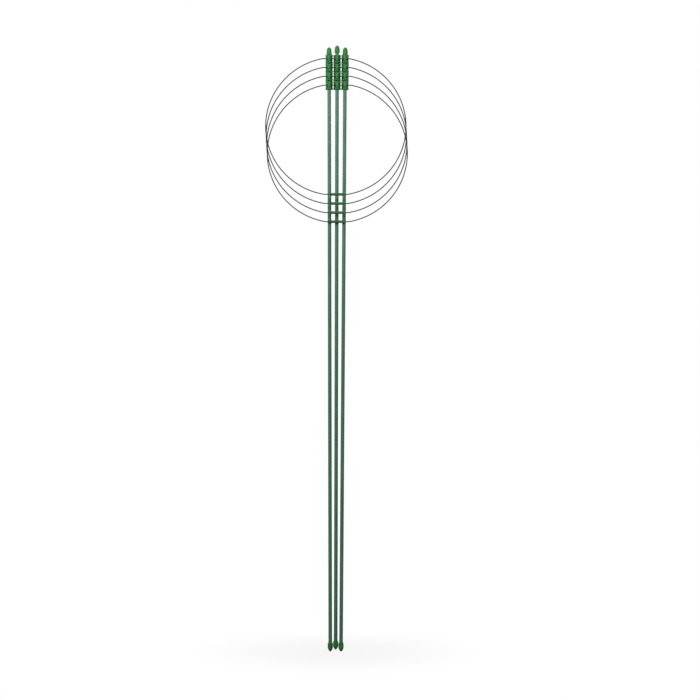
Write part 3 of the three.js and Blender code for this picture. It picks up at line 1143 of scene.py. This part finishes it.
def studio_paper(studio):
    """Matt pale paper that keeps a faint shadow near the object and is plain white far off."""
    material, tree = new_material("matt pale studio paper")
    place = add_node(tree, "ShaderNodeTexCoord").outputs["Object"]
    distance = add_node(tree, "ShaderNodeVectorMath", {"operation": "LENGTH"}, {0: place})
    far = add_node(tree, "ShaderNodeMapRange", {"interpolation_type": "SMOOTHSTEP"}, {
        "Value": distance.outputs["Value"],
        "From Min": SHADOW_FADES_FROM, "From Max": SHADOW_FADES_TO, "To Min": 1 - SHADOW_SHARE,
    })
    fade = add_node(tree, "ShaderNodeMath", {"operation": "MULTIPLY"}, {
        0: far.outputs["Result"], 1: seen_directly(tree),
    })
    paper = add_node(tree, "ShaderNodeBsdfDiffuse", inputs={
        "Color": opaque(studio.floor_colour),
    })
    white = add_node(tree, "ShaderNodeEmission", inputs={"Color": WHITE, "Strength": 1.0})
    mixed = add_node(tree, "ShaderNodeMixShader", inputs={
        0: fade.outputs["Value"], 1: paper.outputs["BSDF"], 2: white.outputs["Emission"],
    })
    add_node(tree, "ShaderNodeOutputMaterial", inputs={"Surface": mixed.outputs["Shader"]})
    return material


def soft_light(name, power, size, place, aim):
    """A square or oblong area light that points at an aim."""
    lamp = bpy.data.lights.new(name, "AREA")
    lamp.energy = power
    lamp.shape = "RECTANGLE"
    lamp.size, lamp.size_y = size
    piece = bpy.data.objects.new(name, lamp)
    piece.location = place
    piece.rotation_euler = (Vector(aim) - Vector(place)).to_track_quat("-Z", "Y").to_euler()
    bpy.context.scene.collection.objects.link(piece)


def lay_floor(studio):
    """A wide sheet of paper just below the lowest tip."""
    bm = bmesh.new()
    bmesh.ops.create_grid(
        bm, x_segments=FLOOR_SQUARES, y_segments=FLOOR_SQUARES, size=FLOOR_REACH,
    )
    floor = bpy.data.objects.new("studio_floor", finished(bm))
    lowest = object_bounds()[0][2]
    floor.location = (0, 0, lowest - FLOOR_DROP)
    floor.data.materials.append(studio_paper(studio))
    bpy.context.scene.collection.objects.link(floor)
    floor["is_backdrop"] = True


def soft_room(ambient):
    """A room that gives weak light from all round and is seen as plain white."""
    world = bpy.data.worlds.new("soft white room")
    world.use_nodes = True
    tree = world.node_tree
    tree.nodes.clear()
    room = add_node(tree, "ShaderNodeBackground", inputs={"Color": WHITE, "Strength": ambient})
    white = add_node(tree, "ShaderNodeBackground", inputs={"Color": WHITE, "Strength": 1.0})
    mixed = add_node(tree, "ShaderNodeMixShader", inputs={
        0: seen_directly(tree), 1: room.outputs["Background"], 2: white.outputs["Background"],
    })
    add_node(tree, "ShaderNodeOutputWorld", inputs={"Surface": mixed.outputs["Shader"]})
    return world


def photo_camera():
    """The camera, on a long lens from the front."""
    camera = bpy.data.cameras.new("camera")
    camera.sensor_width = SENSOR_WIDTH_MM
    camera.lens = LENS_MM
    camera.clip_end = CAMERA_REACH
    piece = bpy.data.objects.new("camera", camera)
    piece.location = CAMERA_PLACE
    piece.rotation_euler = (math.pi / 2, CAMERA_ROLL, 0)
    bpy.context.scene.collection.objects.link(piece)
    return piece


class SUPPORT_OT_studio(bpy.types.Operator):
    """Add the floor, the lights and the camera"""

    bl_idname = "plant_support.studio"
    bl_label = "Studio"

    def execute(self, context):
        scene = context.scene
        studio = scene.plant_support.studio
        lay_floor(studio)
        scene.world = soft_room(studio.ambient)
        soft_light("key_light", studio.key_power, *KEY_LIGHT)
        soft_light("fill_light", studio.fill_power, *FILL_LIGHT)
        soft_light("back_light", studio.back_power, *BACK_LIGHT)
        scene.camera = photo_camera()
        scene.view_settings.view_transform = "Standard"
        return {"FINISHED"}


class SUPPORT_PT_panel(bpy.types.Panel):
    """Sizes, colours and build steps of the plant support"""

    bl_idname = "SUPPORT_PT_panel"
    bl_label = "Plant Support"
    bl_space_type = "VIEW_3D"
    bl_region_type = "UI"
    bl_category = "Plant Support"

    def draw(self, context):
        settings = context.scene.plant_support
        for title, group in (
            ("Stakes", settings.stake), ("Caps", settings.cap), ("Clips", settings.clip),
            ("Rings", settings.ring), ("Studio", settings.studio),
        ):
            box = self.layout.box()
            box.label(text=title)
            for name in group.__annotations__:
                box.prop(group, name)
        for operator in OPERATORS:
            self.layout.operator(operator.bl_idname)


OPERATORS = (
    SUPPORT_OT_stakes, SUPPORT_OT_caps, SUPPORT_OT_clips, SUPPORT_OT_ring_wires,
    SUPPORT_OT_ring_sleeves, SUPPORT_OT_studio,
)
CLASSES = (
    StakeSettings, CapSettings, ClipSettings, RingSettings, StudioSettings, SupportSettings,
    *OPERATORS, SUPPORT_PT_panel,
)


def register():
    for each in CLASSES:
        bpy.utils.register_class(each)
    bpy.types.Scene.plant_support = PointerProperty(type=SupportSettings)


def unregister():
    del bpy.types.Scene.plant_support
    for each in reversed(CLASSES):
        bpy.utils.unregister_class(each)


def main():
    """Builds the support and its studio."""
    register()
    bpy.ops.plant_support.stakes()
    bpy.ops.plant_support.caps()
    bpy.ops.plant_support.clips()
    bpy.ops.plant_support.ring_wires()
    bpy.ops.plant_support.ring_sleeves()
    bpy.ops.plant_support.studio()


if __name__ == "__main__":
    main()
